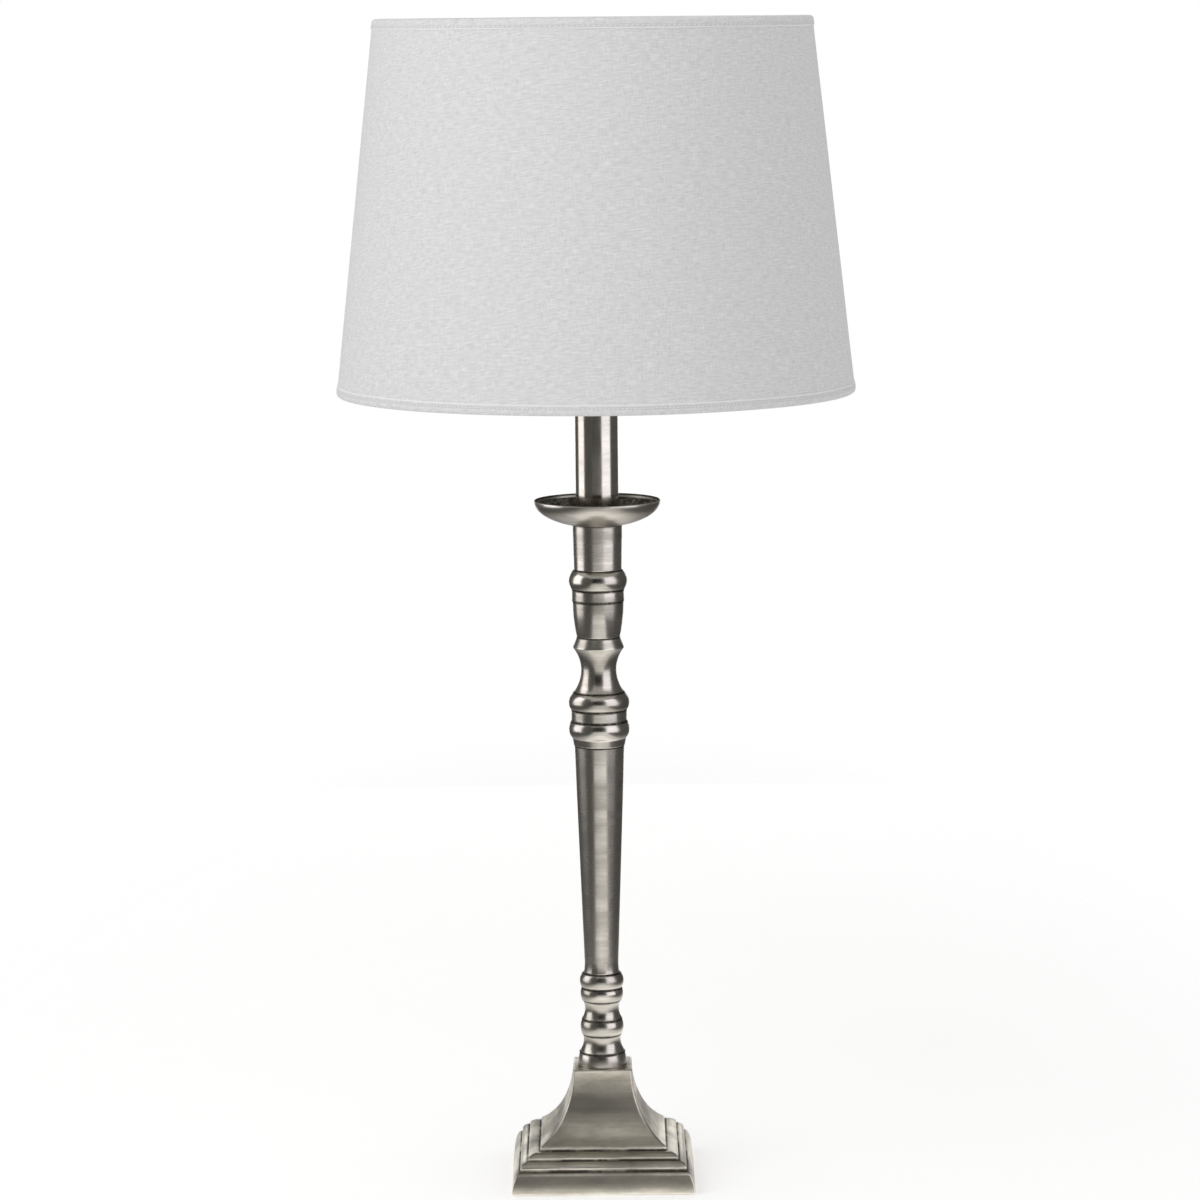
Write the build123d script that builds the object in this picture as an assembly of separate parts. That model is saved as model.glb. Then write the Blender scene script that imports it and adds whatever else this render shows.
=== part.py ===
from build123d import *
import os
from math import acos, asin, cos, degrees, radians, sin, sqrt

# Table lamp on a turned stem, in millimetres. +Z is up, the front faces -Y, and the origin is
# the middle of the felt's underside, on the stem's axis.

# Fits
rod_clearance = 0.3          # round the rod in the bores that it passes through
thread_clearance = 0.05      # round a screwed fit of two fixed pieces
register_clearance = 0.1     # round and under each spigot of the stem
slip_clearance = 0.05        # between pieces that are pushed or glued together
turn_clearance = 0.4         # between pieces that turn on each other

# Base casting: half width at its foot, how far each tier is set back from the one below, and its top
rim_lift = 1.0               # the felt keeps the casting's rim this far off the table
foot_half = 53.6
plinth_batter = 3.0
brow_setback = 2.2
step_two_setback = 4.7
step_one_setback = 7.0
top_half = 17.2
plinth_face_height = 11.2
plinth_bulge = 0.7           # how far the plinth's face stands out from its chord
brow_rise = 1.3
step_two_riser = 1.9
step_two_rise = 3.2
step_one_riser = 1.7
step_one_rise = 2.2
tread_crown = 0.9            # how far a tread bulges over its chord
flare_riser = 2.2
flare_height = 41.3
flare_sweep = 66.0           # part of a quarter ellipse that the flare follows, in degrees
top_edge_round = 0.9
corner_round = 1.2
base_wall = 4.5
base_web = 10.0              # thickness of the casting's top, above its hollow

# Cord way through the base
cord_bore_r = 3.0
bushing_wall = 1.0
bushing_flange_r = 5.0
bushing_flange_thickness = 1.2
spot_face_depth = 2.4        # how far the flange's flat lies inside the foot's edge
cord_channel_width = 8.5

# Ballast, felt and the clamp under the ballast
felt_thickness = 2.0
felt_corner_r = 6.0
ballast_clearance = 0.5
ballast_boss_r = 22.0
ballast_boss_height = 9.0
rod_r = 5.0
rod_bore_r = 3.5
rod_end_gap = 1.0
rod_tail = 1.5               # rod showing under the nut
nut_width = 14.0             # across the flats
nut_height = 5.0
washer_r = 12.0
washer_thickness = 2.0
nut_pocket_margin = 1.5

# Spigots that centre the stem's pieces on each other
spigot_wall = 2.1
spigot_height = 2.5

# Lower baluster, from its foot up
drum_r = 14.4
drum_top_r = 14.2
drum_height = 7.6
cavetto_foot_r = 13.6
cavetto_mid_r = 11.1
cavetto_top_r = 11.35
cavetto_height = 10.6
foot_bead_foot_r = 11.75
foot_bead_crest_r = 12.7
foot_bead_top_r = 11.6
foot_bead_height = 9.0
waist_foot_r = 12.0
waist_r = 10.0
waist_top_r = 11.2
waist_height = 11.3
mid_bead_foot_r = 11.6
mid_bead_crest_r = 12.5
mid_bead_top_r = 11.8
mid_bead_height = 7.6
top_bead_crest_r = 12.85
top_bead_top_r = 11.1
top_bead_height = 9.0

# Tapered column
column_foot_r = 10.35
column_cove_r = 10.0
column_narrow_r = 9.9
column_cove_height = 6.4
column_top_r = 14.5
column_taper_height = 129.0
column_wall = 3.0
column_end_length = 12.0     # length at each end that is bored for the rod only

# Upper baluster
under_ring_r = 14.8
under_ring_top_r = 15.6
under_ring_height = 4.4
under_bead_crest_r = 17.7
under_bead_top_r = 16.4
under_bead_height = 9.9
knop_band_r = 16.2
knop_band_height = 6.8
knop_bead_crest_r = 17.7
knop_bead_top_r = 14.7
knop_bead_height = 10.2
scotia_foot_r = 15.1
scotia_r = 10.3
scotia_top_r = 15.0
scotia_height = 26.5
collar_top_r = 12.5
collar_height = 6.2

# Candle cup and neck
cup_foot_r = 12.6
cup_mid_r = 14.35
cup_top_r = 14.8
cup_height = 21.0
cup_band_r = 15.2
cup_band_height = 6.8
cup_bead_crest_r = 17.0
cup_bead_top_r = 14.0
cup_bead_height = 11.5
neck_foot_r = 13.9
neck_top_r = 14.45
neck_height = 26.7

# Drip pan and candle tube
pan_r = 36.6
pan_depth = 15.2             # depth of the half ellipse that the bowl follows
pan_floor_r = 17.0
pan_wall = 1.3
tube_r = 12.5
tube_wall = 1.0
tube_length = 132.8
foot_bush_height = 8.0
top_bush_height = 6.0
top_bush_flange = 1.5

# Lampholder
hub_r = 9.0
hub_height = 8.0
hub_wall = 2.0
cap_r = 23.5
cap_dome_height = 12.0
cap_rim_height = 6.0
seat_width = 4.8             # ledge in the cap that carries the sleeve and the insert
sleeve_r = 19.75
sleeve_wall = 2.2
sleeve_engagement = 9.0
sleeve_height = 40.0
lip_margin = 1.25            # between the bore of the screw shell and the sleeve's lip
lip_thickness = 1.5
insert_height = 13.0
insert_clearance = 0.25
shell_wall = 0.5
shell_height = 24.0
contact_width = 6.0
contact_thickness = 0.6
contact_foot = 5.0
contact_slope = 2.5
contact_rise = 2.4
contact_tip = 4.0
rivet_r = 1.5
rivet_length = 8.0
terminal_offset = 9.0
terminal_head_r = 2.6
terminal_head_height = 2.0
terminal_r = 1.5
terminal_length = 7.0
lock_screw_r = 1.5
lock_screw_sink = 0.5

# Light bulb
bulb_gap = 0.3               # between the bulb's contact and the spring in the holder
bulb_contact_r = 4.6
bulb_contact_height = 1.2
insulator_height = 4.0
insulator_top_r = 11.5
bulb_cap_r = 13.1
bulb_cap_height = 20.0
globe_neck_height = 49.0
globe_r = 30.0
globe_wall = 1.2
globe_neck_lean = 0.15       # how much the neck opens as it leaves the cap

# Shade and its fitter
shade_bottom_r = 150.0
shade_top_r = 126.0
shade_height = 215.0
linen_thickness = 0.8
liner_thickness = 0.4
hem_thickness = 0.5
hem_height = 6.0
hem_chamfer = 1.3
wire_r = 1.15
fitter_thickness = 1.5
fitter_width = 9.8
fitter_drop = 130.0          # from the shade's top edge down to the fitter's seat
arm_r = 1.25
arm_count = 3
arm_flat = 14.0              # level run of an arm outside the holder
arm_upright = 14.0           # run of an arm along the shade's wall, under the top wire
arm_bend_r = 8.0
shade_ring_width = 7.9
shade_ring_hub_width = 3.4
shade_ring_height = 8.0
shade_ring_flange = 2.5
grip_count = 10
grip_r = 3.0
grip_depth = 1.2

# Half widths, levels and radii that follow from the sizes above
brow_half = foot_half - plinth_batter
step_two_half = brow_half - brow_setback
step_one_half = step_two_half - step_two_setback
flare_foot_half = step_one_half - step_one_setback
brow_top = rim_lift + plinth_face_height + brow_rise
step_two_top = brow_top + step_two_riser + step_two_rise
step_one_top = step_two_top + step_one_riser + step_one_rise
flare_foot = step_one_top + flare_riser
base_top = flare_foot + flare_height
flare_reach = (flare_foot_half - top_half) / (1 - cos(radians(flare_sweep)))
flare_fall = flare_height / sin(radians(flare_sweep))
cord_z = rim_lift + (plinth_face_height + brow_rise) / 2
bushing_r = cord_bore_r + bushing_wall
spot_face = foot_half - spot_face_depth
pocket_half = step_two_half - base_wall
hollow_half = flare_foot_half - base_wall
bore_r = rod_r + rod_clearance
spigot_r = bore_r + spigot_wall
rod_foot = felt_thickness + rod_end_gap
nut_foot = rod_foot + rod_tail
washer_foot = nut_foot + nut_height
nut_pocket_top = washer_foot + washer_thickness
lower_baluster_height = (
    drum_height + cavetto_height + foot_bead_height + waist_height + mid_bead_height + top_bead_height
)
column_foot = base_top + lower_baluster_height
column_top = column_foot + column_cove_height + column_taper_height
upper_baluster_height = (
    under_ring_height + under_bead_height + knop_band_height + knop_bead_height
    + scotia_height + collar_height
)
cup_foot = column_top + upper_baluster_height
neck_foot = cup_foot + cup_height + cup_band_height + cup_bead_height
pan_foot = neck_foot + neck_height
pan_rim = pan_foot + pan_depth * sqrt(1 - (pan_floor_r / pan_r) ** 2)
tube_foot = pan_foot + pan_wall
tube_top = tube_foot + tube_length
tube_bush_r = tube_r - tube_wall - slip_clearance
holder_foot = tube_top + top_bush_flange
rod_top = holder_foot + hub_height
cap_top = holder_foot + hub_height + cap_dome_height + cap_rim_height
sleeve_foot = cap_top - sleeve_engagement
sleeve_top = sleeve_foot + sleeve_height
sleeve_bore_r = sleeve_r - sleeve_wall
insert_r = sleeve_bore_r - insert_clearance
insert_top = sleeve_foot + insert_height
shell_r = bulb_cap_r + turn_clearance
contact_end = -contact_tip / 2 - contact_slope - contact_foot
rivet_x = contact_end + contact_foot / 2
bulb_foot = insert_top + contact_rise + contact_thickness + bulb_gap
insulator_foot = bulb_foot + bulb_contact_height
bulb_cap_foot = insulator_foot + insulator_height
globe_foot = bulb_cap_foot + bulb_cap_height
globe_centre = globe_foot + globe_neck_height
fitter_bore_r = sleeve_r + turn_clearance
fitter_top = cap_top + fitter_thickness
shade_top = cap_top + fitter_drop
shade_foot = shade_top - shade_height

# The shade's wall, layer by layer, as depths in from the hem's outer face
linen_depth = hem_thickness + slip_clearance
liner_depth = linen_depth + linen_thickness + slip_clearance
wire_depth = liner_depth + liner_thickness + slip_clearance
hem_depth = wire_depth + 2 * wire_r + slip_clearance + hem_thickness
hem_floor = hem_thickness + slip_clearance
hem_inner_height = hem_floor + 2 * wire_r
wall_line = Vector(shade_top_r - shade_bottom_r, 0, shade_height)
wall_up = wall_line.normalized()
wall_in = Vector(-wall_up.Z, 0, wall_up.X)
bottom_edge = Plane((shade_bottom_r, 0, shade_foot), x_dir=wall_in, z_dir=(0, 1, 0))
top_edge = Plane((shade_top_r, 0, shade_top), x_dir=wall_in, z_dir=(0, -1, 0))


def disc(radius, foot, top):
    """Upright cylinder on the lamp's axis."""
    return Pos(0, 0, foot) * Cylinder(radius, top - foot, align=(Align.CENTER, Align.CENTER, Align.MIN))


def ring(inner, outer, foot, top):
    return disc(outer, foot, top) - disc(inner, foot, top)


def spin(edges, plane=Plane.XZ):
    """Solid of revolution from edges drawn as radius and height."""
    return revolve(plane * make_face(edges), Axis.Z)


class Turning:
    """Outline of a turned piece, drawn upwards from its foot as radius and height."""

    def __init__(self, radius, foot):
        self.start = Vector(radius, foot)
        self.pen = self.start
        self.edges = []

    def line(self, radius, rise=0.0):
        end = Vector(radius, self.pen.Y + rise)
        self.edges.append(Line(self.pen, end))
        self.pen = end
        return self

    def arc(self, middle_radius, radius, rise):
        """Arc through a radius at half its height: a bead, or a hollow between beads."""
        middle = Vector(middle_radius, self.pen.Y + rise / 2)
        end = Vector(radius, self.pen.Y + rise)
        self.edges.append(ThreePointArc(self.pen, middle, end))
        self.pen = end
        return self

    def solid(self, bore):
        way_back = Polyline(self.pen, (bore, self.pen.Y), (bore, self.start.Y), self.start)
        return spin(self.edges + [way_back])


def spigot(foot):
    return ring(bore_r, spigot_r, foot - spigot_height, foot)


def spigot_recess(top):
    return disc(spigot_r + register_clearance, top - spigot_height - register_clearance, top)


def square_block(edges):
    """Square block whose four sides follow one outline, drawn as half width and height."""
    half = extrude(Plane.XZ * make_face(edges), amount=foot_half, both=True)
    slab = half + mirror(half, about=Plane.YZ)
    return slab & slab.rotate(Axis.Z, 90)


def mitres(block):
    """Edges where the four sides of a square block meet."""
    return block.edges().filter_by(
        lambda edge: abs(abs(edge.center().X) - abs(edge.center().Y)) < slip_clearance
    )


def tier(edges):
    """Square block with the corners of its lowest faces rounded."""
    block = square_block(edges)
    return fillet(mitres(block).group_by(Axis.Z)[0], corner_round)


def plinth():
    foot = Vector(foot_half, rim_lift)
    brow = Vector(brow_half, rim_lift + plinth_face_height)
    middle = (foot + brow) / 2 + Vector(plinth_bulge, 0)
    edges = [
        Line((0, rim_lift), foot),
        ThreePointArc(foot, middle, brow),
        Polyline(brow, (step_two_half, brow_top), (0, brow_top), (0, rim_lift)),
    ]
    return tier(edges)


def step(foot, half, riser, back_half, rise):
    """One step of the base: an upright riser and a crowned tread that runs back to the next tier."""
    nose = Vector(half, foot + riser)
    back = Vector(back_half, foot + riser + rise)
    slope = (back - nose).normalized()
    crown = (nose + back) / 2 + Vector(slope.Y, -slope.X) * tread_crown
    edges = [
        Polyline((0, back.Y), (0, foot), (half, foot), nose),
        ThreePointArc(nose, crown, back),
        Line(back, (0, back.Y)),
    ]
    return tier(edges)


def flare():
    """Concave pyramid from the upper step to the small square top."""
    edges = [
        Polyline(
            (0, base_top), (0, step_one_top),
            (flare_foot_half, step_one_top), (flare_foot_half, flare_foot),
        ),
        EllipticalCenterArc(
            (top_half + flare_reach, base_top), flare_reach, flare_fall,
            start_angle=180, arc_size=flare_sweep,
        ),
        Line((top_half, base_top), (0, base_top)),
    ]
    block = square_block(edges)
    block = fillet(mitres(block), corner_round)
    return fillet(block.faces().sort_by(Axis.Z)[-1].edges(), top_edge_round)


def flare_hollow():
    """Hollow that follows the flare one wall inside it, under the casting's top."""
    reach = flare_reach + base_wall
    fall = flare_fall + base_wall
    middle = top_half + flare_reach
    first = asin(base_web / fall)
    last = acos((middle - hollow_half) / reach)
    upper = Vector(middle - reach * cos(first), base_top - base_web)
    lower = Vector(hollow_half, base_top - fall * sin(last))
    edges = [
        EllipticalCenterArc(
            (middle, base_top), reach, fall,
            start_angle=180 + degrees(first), arc_size=degrees(last - first),
        ),
        Polyline(lower, (hollow_half, brow_top), (0, brow_top), (0, upper.Y), upper),
    ]
    return square_block(edges)


def rearward(radius, start, end):
    """Cylinder along +Y at the height of the cord."""
    place = Plane((0, start, cord_z), x_dir=(1, 0, 0), z_dir=(0, 1, 0))
    return place * Cylinder(radius, end - start, align=(Align.CENTER, Align.CENTER, Align.MIN))


def base_casting():
    body = plinth()
    body += step(brow_top, step_two_half, step_two_riser, step_one_half, step_two_rise)
    body += step(step_two_top, step_one_half, step_one_riser, flare_foot_half, step_one_rise)
    body += flare()
    body -= flare_hollow()
    body -= Pos(0, 0, rim_lift) * Box(
        2 * pocket_half, 2 * pocket_half, brow_top - rim_lift, align=(Align.CENTER, Align.CENTER, Align.MIN)
    )
    body -= disc(bore_r, brow_top, base_top)
    body -= spigot_recess(base_top)
    body -= rearward(bushing_r + slip_clearance, pocket_half - base_wall, foot_half)
    body -= rearward(bushing_flange_r + slip_clearance, spot_face, foot_half)
    return body


def cord_bushing():
    barrel = rearward(bushing_r, pocket_half, spot_face)
    flange = rearward(bushing_flange_r, spot_face, spot_face + bushing_flange_thickness)
    return barrel + flange - rearward(cord_bore_r, pocket_half, foot_half)


def ballast_weight():
    half = pocket_half - ballast_clearance
    plate = Pos(0, 0, felt_thickness) * Box(
        2 * half, 2 * half, brow_top - felt_thickness, align=(Align.CENTER, Align.CENTER, Align.MIN)
    )
    body = plate + disc(ballast_boss_r, brow_top, brow_top + ballast_boss_height)
    body -= disc(bore_r, felt_thickness, brow_top + ballast_boss_height)
    body -= disc(washer_r + nut_pocket_margin, felt_thickness, nut_pocket_top)
    channel_top = cord_z + cord_bore_r
    channel = Pos(0, 0, felt_thickness) * Box(
        cord_channel_width, half, channel_top - felt_thickness, align=(Align.CENTER, Align.MIN, Align.MIN)
    )
    return body - channel


def felt_pad():
    half = pocket_half - ballast_clearance
    return extrude(RectangleRounded(2 * half, 2 * half, felt_corner_r), felt_thickness)


def threaded_rod():
    return ring(rod_bore_r, rod_r, rod_foot, rod_top)


def clamp_nut():
    hexagon = RegularPolygon(nut_width / 2, 6, major_radius=False)
    blank = Pos(0, 0, nut_foot) * extrude(hexagon, nut_height)
    return blank - disc(rod_r + thread_clearance, nut_foot, washer_foot)


def clamp_washer():
    return ring(bore_r, washer_r, washer_foot, nut_pocket_top)


def lower_baluster():
    turning = Turning(drum_r, base_top)
    turning.line(drum_top_r, drum_height)
    turning.line(cavetto_foot_r)
    turning.arc(cavetto_mid_r, cavetto_top_r, cavetto_height)
    turning.line(foot_bead_foot_r)
    turning.arc(foot_bead_crest_r, foot_bead_top_r, foot_bead_height)
    turning.line(waist_foot_r)
    turning.arc(waist_r, waist_top_r, waist_height)
    turning.line(mid_bead_foot_r)
    turning.arc(mid_bead_crest_r, mid_bead_top_r, mid_bead_height)
    turning.arc(top_bead_crest_r, top_bead_top_r, top_bead_height)
    return turning.solid(bore_r) + spigot(base_top) - spigot_recess(column_foot)


def tapered_column():
    turning = Turning(column_foot_r, column_foot)
    turning.arc(column_cove_r, column_narrow_r, column_cove_height)
    turning.line(column_top_r, column_taper_height)
    hollow_foot = column_foot + column_end_length
    hollow_top = column_top - column_end_length
    hollow = spin(Polyline(
        (0, hollow_foot), (column_narrow_r - column_wall, hollow_foot),
        (column_top_r - column_wall, hollow_top), (0, hollow_top), close=True,
    ))
    return turning.solid(bore_r) + spigot(column_foot) - spigot_recess(column_top) - hollow


def upper_baluster():
    turning = Turning(under_ring_r, column_top)
    turning.line(under_ring_top_r, under_ring_height)
    turning.arc(under_bead_crest_r, under_bead_top_r, under_bead_height)
    turning.line(knop_band_r)
    turning.line(knop_band_r, knop_band_height)
    turning.arc(knop_bead_crest_r, knop_bead_top_r, knop_bead_height)
    turning.line(scotia_foot_r)
    turning.arc(scotia_r, scotia_top_r, scotia_height)
    turning.line(collar_top_r, collar_height)
    return turning.solid(bore_r) + spigot(column_top) - spigot_recess(cup_foot)


def candle_cup():
    turning = Turning(cup_foot_r, cup_foot)
    turning.arc(cup_mid_r, cup_top_r, cup_height)
    turning.line(cup_band_r)
    turning.line(cup_band_r, cup_band_height)
    turning.arc(cup_bead_crest_r, cup_bead_top_r, cup_bead_height)
    return turning.solid(bore_r) + spigot(cup_foot) - spigot_recess(neck_foot)


def neck_sleeve():
    turning = Turning(neck_foot_r, neck_foot)
    turning.line(neck_top_r, neck_height)
    return turning.solid(bore_r) + spigot(neck_foot)


def drip_pan():
    middle = Vector(0, pan_rim)
    inner_r = pan_r - pan_wall
    inner_depth = pan_depth - pan_wall
    outer_start = degrees(acos(pan_floor_r / pan_r))
    inner_start = degrees(asin((pan_rim - tube_foot) / inner_depth))
    inner_floor = Vector(inner_r * cos(radians(inner_start)), tube_foot)
    edges = [
        EllipticalCenterArc(middle, pan_r, pan_depth, start_angle=-outer_start, arc_size=outer_start),
        ThreePointArc((pan_r, pan_rim), (pan_r - pan_wall / 2, pan_rim + pan_wall / 2), (inner_r, pan_rim)),
        EllipticalCenterArc(middle, inner_r, inner_depth, start_angle=-inner_start, arc_size=inner_start),
        Polyline(inner_floor, (bore_r, tube_foot), (bore_r, pan_foot), (pan_floor_r, pan_foot)),
    ]
    return spin(edges)


def candle_tube():
    return ring(tube_r - tube_wall, tube_r, tube_foot, tube_top)


def tube_foot_bush():
    return ring(bore_r, tube_bush_r, tube_foot, tube_foot + foot_bush_height)


def tube_top_bush():
    plug = ring(bore_r, tube_bush_r, tube_top - top_bush_height, tube_top)
    return plug + ring(bore_r, tube_r, tube_top, holder_foot)


def lock_screw_hole(radius, start, end):
    place = Plane((0, start, holder_foot + hub_height / 2), x_dir=(1, 0, 0), z_dir=(0, 1, 0))
    return place * Cylinder(radius, end - start, align=(Align.CENTER, Align.CENTER, Align.MIN))


def holder_cap():
    screwed_r = rod_r + thread_clearance
    sleeve_hole_r = sleeve_r + thread_clearance
    dome_foot = holder_foot + hub_height
    dome_top = dome_foot + cap_dome_height
    outline = Polyline(
        (screwed_r, holder_foot), (hub_r, holder_foot), (hub_r, dome_foot),
        (cap_r, dome_top), (cap_r, cap_top), (sleeve_hole_r, cap_top),
        (sleeve_hole_r, sleeve_foot), (sleeve_hole_r - seat_width, sleeve_foot),
        (hub_r - hub_wall, dome_foot + hub_wall), (screwed_r, dome_foot + hub_wall), close=True,
    )
    return spin(outline) - lock_screw_hole(lock_screw_r + thread_clearance, rod_r, hub_r)


def cap_lock_screw():
    return lock_screw_hole(lock_screw_r, rod_r + thread_clearance, hub_r - lock_screw_sink)


def holder_sleeve():
    body = ring(sleeve_bore_r, sleeve_r, sleeve_foot, sleeve_top)
    return body + ring(shell_r + lip_margin, sleeve_r, sleeve_top - lip_thickness, sleeve_top)


def terminal_places():
    return [Pos(0, side * terminal_offset, 0) for side in (-1, 1)]


def holder_insert():
    body = disc(insert_r, sleeve_foot, insert_top)
    body -= Pos(rivet_x, 0, 0) * disc(rivet_r + slip_clearance, insert_top - rivet_length, insert_top)
    for place in terminal_places():
        body -= place * disc(terminal_r + thread_clearance, sleeve_foot, sleeve_foot + terminal_length)
    return body


def screw_shell():
    return ring(shell_r, shell_r + shell_wall, insert_top, insert_top + shell_height)


def centre_contact():
    slope_foot = contact_end + contact_foot
    tip = contact_tip / 2
    strip = Polyline(
        (contact_end, 0), (slope_foot, 0), (-tip, contact_rise), (tip, contact_rise),
        (tip, contact_rise + contact_thickness), (-tip, contact_rise + contact_thickness),
        (slope_foot, contact_thickness), (contact_end, contact_thickness), close=True,
    )
    spring = extrude(Plane.XZ * make_face(strip), amount=contact_width / 2, both=True)
    rivet = Pos(rivet_x, 0, 0) * disc(rivet_r, -rivet_length, 0)
    return Pos(0, 0, insert_top) * (spring + rivet)


def terminal_screws():
    screw = disc(terminal_head_r, sleeve_foot - terminal_head_height, sleeve_foot)
    screw += disc(terminal_r, sleeve_foot, sleeve_foot + terminal_length)
    return [place * screw for place in terminal_places()]


def bulb_insulator():
    outline = Polyline(
        (0, insulator_foot), (bulb_contact_r, insulator_foot), (insulator_top_r, bulb_cap_foot),
        (0, bulb_cap_foot), close=True,
    )
    return spin(outline)


def globe_outline(neck, ball):
    side = Spline((neck, globe_foot), (ball, globe_centre), tangents=[(globe_neck_lean, 1), (0, 1)])
    return [side, CenterArc((0, globe_centre), ball, 0, 90)]


def bulb_globe():
    inner_neck = bulb_cap_r - globe_wall
    inner_ball = globe_r - globe_wall
    edges = globe_outline(bulb_cap_r, globe_r) + globe_outline(inner_neck, inner_ball)
    edges.append(Line((bulb_cap_r, globe_foot), (inner_neck, globe_foot)))
    edges.append(Line((0, globe_centre + globe_r), (0, globe_centre + inner_ball)))
    return spin(edges)


def wall_layer(depth, thickness):
    """Conical layer of the shade between the floors of its two hems."""
    upper = wall_line.length - hem_floor
    layer = Polyline(
        (depth, hem_floor), (depth + thickness, hem_floor),
        (depth + thickness, upper), (depth, upper), close=True,
    )
    return spin(layer, bottom_edge)


def hem(edge):
    """Fold of linen round an edge of the shade, with the hoop and the wall's layers inside."""
    fold = Polyline(
        (0, hem_height), (0, hem_chamfer), (hem_chamfer, 0),
        (hem_depth - hem_chamfer, 0), (hem_depth, hem_chamfer), (hem_depth, hem_inner_height),
        (hem_depth - hem_thickness, hem_inner_height), (hem_depth - hem_thickness, hem_thickness),
        (hem_thickness, hem_thickness), (hem_thickness, hem_height), close=True,
    )
    return spin(fold, edge)


def hoop(edge):
    """Wire hoop in the fold of a hem, drawn with six flats because the fold hides it."""
    section = Pos(wire_depth + wire_r, hem_floor + wire_r) * RegularPolygon(wire_r, 6)
    return revolve(edge * section, Axis.Z)


def fitter_ring():
    return ring(fitter_bore_r, fitter_bore_r + fitter_width, cap_top, fitter_top)


def fitter_arms():
    """Wire arms from under the fitter's rim up to the top hoop."""
    depth = wire_depth + arm_r
    meeting = hem_inner_height + slip_clearance
    level = cap_top - arm_r
    start_r = cap_r + turn_clearance
    path = FilletPolyline(
        (start_r, 0, level),
        (start_r + arm_flat, 0, level),
        top_edge.from_local_coords((depth, meeting + arm_upright, 0)),
        top_edge.from_local_coords((depth, meeting, 0)),
        radius=arm_bend_r,
    )
    arm = sweep(Plane(path @ 0, z_dir=path % 0) * Circle(arm_r), path=path)
    return [arm.rotate(Axis.Z, 90 + 360 / arm_count * index) for index in range(arm_count)]


def shade_ring():
    hub_r = fitter_bore_r + shade_ring_hub_width
    rim_r = fitter_bore_r + shade_ring_width
    body = ring(fitter_bore_r, rim_r, fitter_top, fitter_top + shade_ring_flange)
    body += ring(fitter_bore_r, hub_r, fitter_top, fitter_top + shade_ring_height)
    for place in PolarLocations(rim_r + grip_r - grip_depth, grip_count):
        body -= place * disc(grip_r, fitter_top, fitter_top + shade_ring_flange)
    return body


def save(node, *solids):
    shape = solids[0] if len(solids) == 1 else Compound(children=list(solids))
    export_step(shape, f"parts/{node}.step")


os.makedirs("parts", exist_ok=True)

save("base_casting", base_casting())
save("cord_bushing", cord_bushing())
save("ballast_weight", ballast_weight())
save("felt_pad", felt_pad())
save("threaded_rod", threaded_rod())
save("clamp_nut", clamp_nut())
save("clamp_washer", clamp_washer())
save("lower_baluster", lower_baluster())
save("tapered_column", tapered_column())
save("upper_baluster", upper_baluster())
save("candle_cup", candle_cup())
save("neck_sleeve", neck_sleeve())
save("drip_pan", drip_pan())
save("candle_tube", candle_tube())
save("tube_foot_bush", tube_foot_bush())
save("tube_top_bush", tube_top_bush())
save("holder_cap", holder_cap())
save("cap_lock_screw", cap_lock_screw())
save("holder_sleeve", holder_sleeve())
save("holder_insert", holder_insert())
save("screw_shell", screw_shell())
save("centre_contact", centre_contact())
save("terminal_screws", *terminal_screws())
save("bulb_contact", disc(bulb_contact_r, bulb_foot, insulator_foot))
save("bulb_insulator", bulb_insulator())
save("bulb_cap", disc(bulb_cap_r, bulb_cap_foot, globe_foot))
save("bulb_globe", bulb_globe())
save("fitter_ring", fitter_ring())
save("fitter_arms", *fitter_arms())
save("top_wire", hoop(top_edge))
save("bottom_wire", hoop(bottom_edge))
save("shade_linen", wall_layer(linen_depth, linen_thickness))
save("shade_liner", wall_layer(liner_depth, liner_thickness))
save("top_hem", hem(top_edge))
save("bottom_hem", hem(bottom_edge))
save("shade_ring", shade_ring())
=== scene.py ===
import math

import bmesh
import bpy
from mathutils import Matrix, Quaternion, Vector, noise


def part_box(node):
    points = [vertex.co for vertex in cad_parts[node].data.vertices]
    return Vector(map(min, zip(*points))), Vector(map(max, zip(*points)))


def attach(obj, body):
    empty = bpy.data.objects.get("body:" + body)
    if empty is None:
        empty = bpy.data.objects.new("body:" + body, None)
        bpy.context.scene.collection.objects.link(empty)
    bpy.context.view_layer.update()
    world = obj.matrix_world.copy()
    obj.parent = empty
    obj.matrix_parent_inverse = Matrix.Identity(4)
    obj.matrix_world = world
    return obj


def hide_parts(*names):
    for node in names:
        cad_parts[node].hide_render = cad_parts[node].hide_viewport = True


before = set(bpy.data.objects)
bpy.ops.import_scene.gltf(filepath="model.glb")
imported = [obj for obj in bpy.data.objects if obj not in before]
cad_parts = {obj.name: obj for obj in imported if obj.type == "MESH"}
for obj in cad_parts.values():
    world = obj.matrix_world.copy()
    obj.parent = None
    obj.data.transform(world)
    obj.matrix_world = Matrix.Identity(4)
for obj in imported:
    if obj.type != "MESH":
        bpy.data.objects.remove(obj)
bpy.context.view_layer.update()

mm = 0.001
weld = 0.002 * mm           # points closer than this are one point
axisUp = Vector((0, 0, 1))
quarterTurn = math.radians(90)
towardsBack = Matrix.Rotation(-quarterTurn, 4, "X")     # lays an upright rod along +Y
scene = bpy.context.scene
print("frame loaded,", len(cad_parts), "nodes")


# Outlines: a CAD node is cut through its axis, its corners are rounded, and it is turned again
outline = {
    "sharp": math.radians(20),          # what turns by more is a corner
    "kept": math.radians(15),           # what turns by more is never dropped
    "inLine": math.radians(0.4),        # what turns by less is dropped
    "gentle": math.radians(9),          # what turns by less is made fair
    "fairing": (0.5, -0.52), "fairPasses": 5, "roundRoom": 0.45, "roundSegments": 4,
    "markFill": 1.4,                    # over 1, so that a mark is full for some way before it fades
}


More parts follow.
